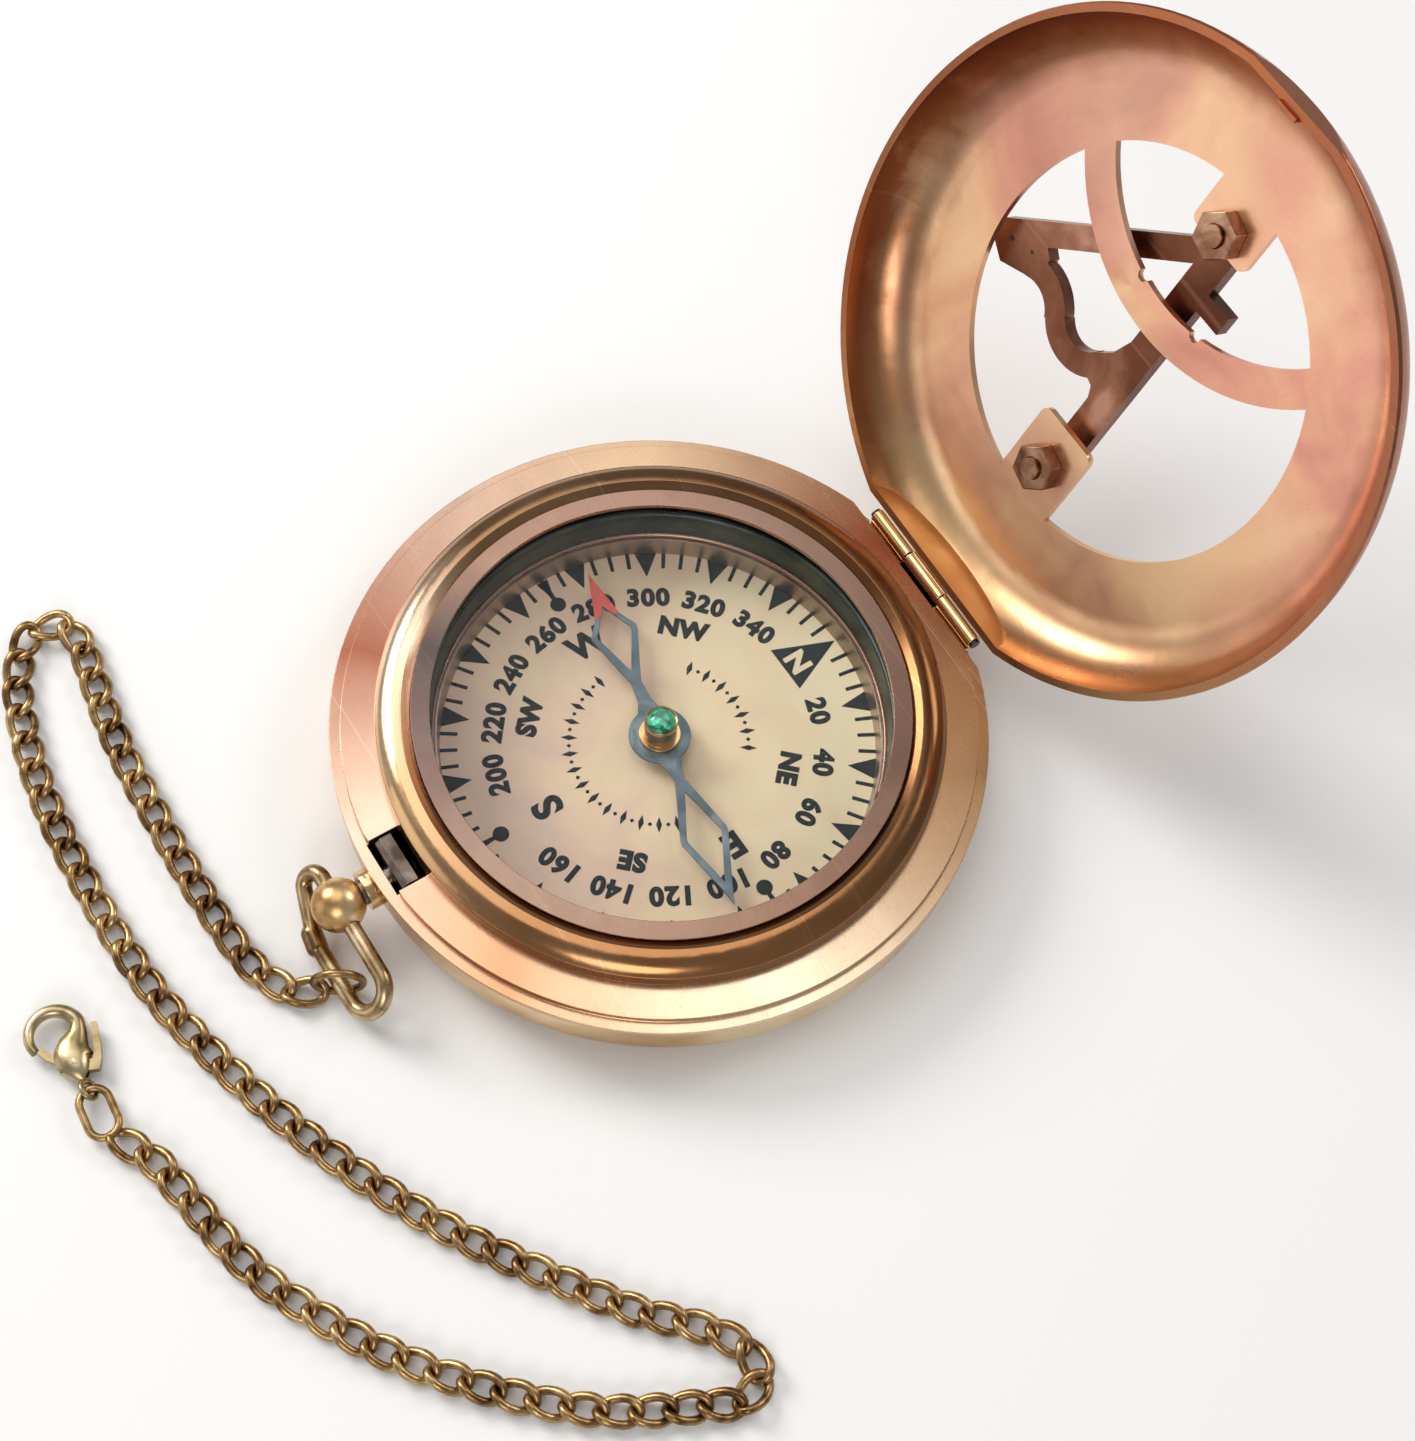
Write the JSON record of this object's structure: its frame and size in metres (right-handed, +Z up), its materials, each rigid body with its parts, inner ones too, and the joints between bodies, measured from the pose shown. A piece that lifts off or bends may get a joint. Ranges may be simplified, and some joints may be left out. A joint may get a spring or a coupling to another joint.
{
  "type": "pocket sundial",
  "caption": "Pocket sundial compass: round brass case with dial and needle, hinged lid with a folding gnomon, push-button latch, bow and chain.",
  "frame": {"origin": "centre of the case's round resting face", "axes": "+Z up, +Y towards the lid hinge and the dial's north, +X to the right of the dial"},
  "size_m": [0.1214, 0.1522, 0.0747],
  "materials": {
    "copper_brass": "aged copper-tinted brass, satin",
    "lid_brass": "heat-tinted copper patina over brass",
    "polished_brass": "polished golden brass, worn",
    "ring_brass": "dull mauve-brown tarnish",
    "dark_brass": "darkened inner wall",
    "chain_bronze": "antique bronze",
    "steel": "plain steel",
    "blued_steel": "blued steel with a red north tip",
    "dial_print": "silvered copper-beige dial with dark print",
    "wood_seat": "plain seat under the dial",
    "window_glass": "clear flat glass",
    "jewel_glass": "faceted green glass jewel"
  },
  "bodies": {
    "case": {"base_shell": "polished_brass", "case_top": "copper_brass", "bezel_ring": "polished_brass", "glass_retainer": "ring_brass", "glass": "window_glass", "capsule_wall": "dark_brass", "dial_ring": "ring_brass", "snap_ring": "polished_brass", "dial_card": "dial_print", "dial_seat": "wood_seat", "pivot_post": "polished_brass", "hinge_leaf_case": "polished_brass", "hinge_pin": "steel", "pendant_neck": "polished_brass", "latch_spring": "steel"},
    "button": {"button_ball": "polished_brass", "latch_slide": "steel"},
    "bow": {"bow": "copper_brass"},
    "needle": {"needle": "blued_steel", "needle_cap": "polished_brass", "cap_jewel": "jewel_glass"},
    "lid": {"lid_shell": "lid_brass", "hinge_leaf_lid": "polished_brass", "lid_catch": "lid_brass", "gnomon_posts": "lid_brass", "post_nuts": "lid_brass"},
    "gnomon": {"gnomon": "lid_brass"},
    "chain": {"bow_ring": "chain_bronze", "chain": "chain_bronze", "end_ring": "chain_bronze", "clasp_body": "chain_bronze", "clasp_rivet": "chain_bronze", "clasp_spring": "steel"},
    "clasp_lever": {"clasp_lever": "chain_bronze"}
  },
  "joints": [
    {"name": "lid_hinge", "type": "hinge", "parent": "case", "child": "lid", "pos_m": [0, 0.0366, 0.0092], "axis": [-1, 0, 0], "range_deg": [-117, 0]},
    {"name": "gnomon_fold", "type": "hinge", "parent": "lid", "child": "gnomon", "pos_m": [0, 0.06186, 0.03741], "axis": [0, -0.454, -0.891], "range_deg": [0, 90]},
    {"name": "needle_spin", "type": "hinge", "parent": "case", "child": "needle", "pos_m": [0, 0, 0.005], "axis": [0, 0, 1], "continuous": true},
    {"name": "button_press", "type": "slide", "parent": "case", "child": "button", "axis": [0, 1, 0], "range_m": [0, 0.0006], "stiffness_N_per_m": 1500, "springref_m": -0.0004},
    {"name": "bow_swing", "type": "hinge", "parent": "button", "child": "bow", "pos_m": [0, -0.0417, 0.006], "axis": [-1, 0, 0], "range_deg": [0, 136]},
    {"name": "chain_level", "type": "hinge", "parent": "bow", "child": "chain", "pos_m": [0, -0.04545, 0.00212], "axis": [-1, 0, 0], "range_deg": [-136, 0]},
    {"name": "clasp_gate", "type": "hinge", "parent": "chain", "child": "clasp_lever", "pos_m": [0.0001, -0.07408, 0.00145], "axis": [0, 0, -1], "range_deg": [0, 20], "stiffness_Nm_per_rad": 0.002, "springref_deg": -5.73}
  ],
  "couplings": [
    {"joint": "chain_level", "follows": "bow_swing", "ratio": -1}
  ]
}
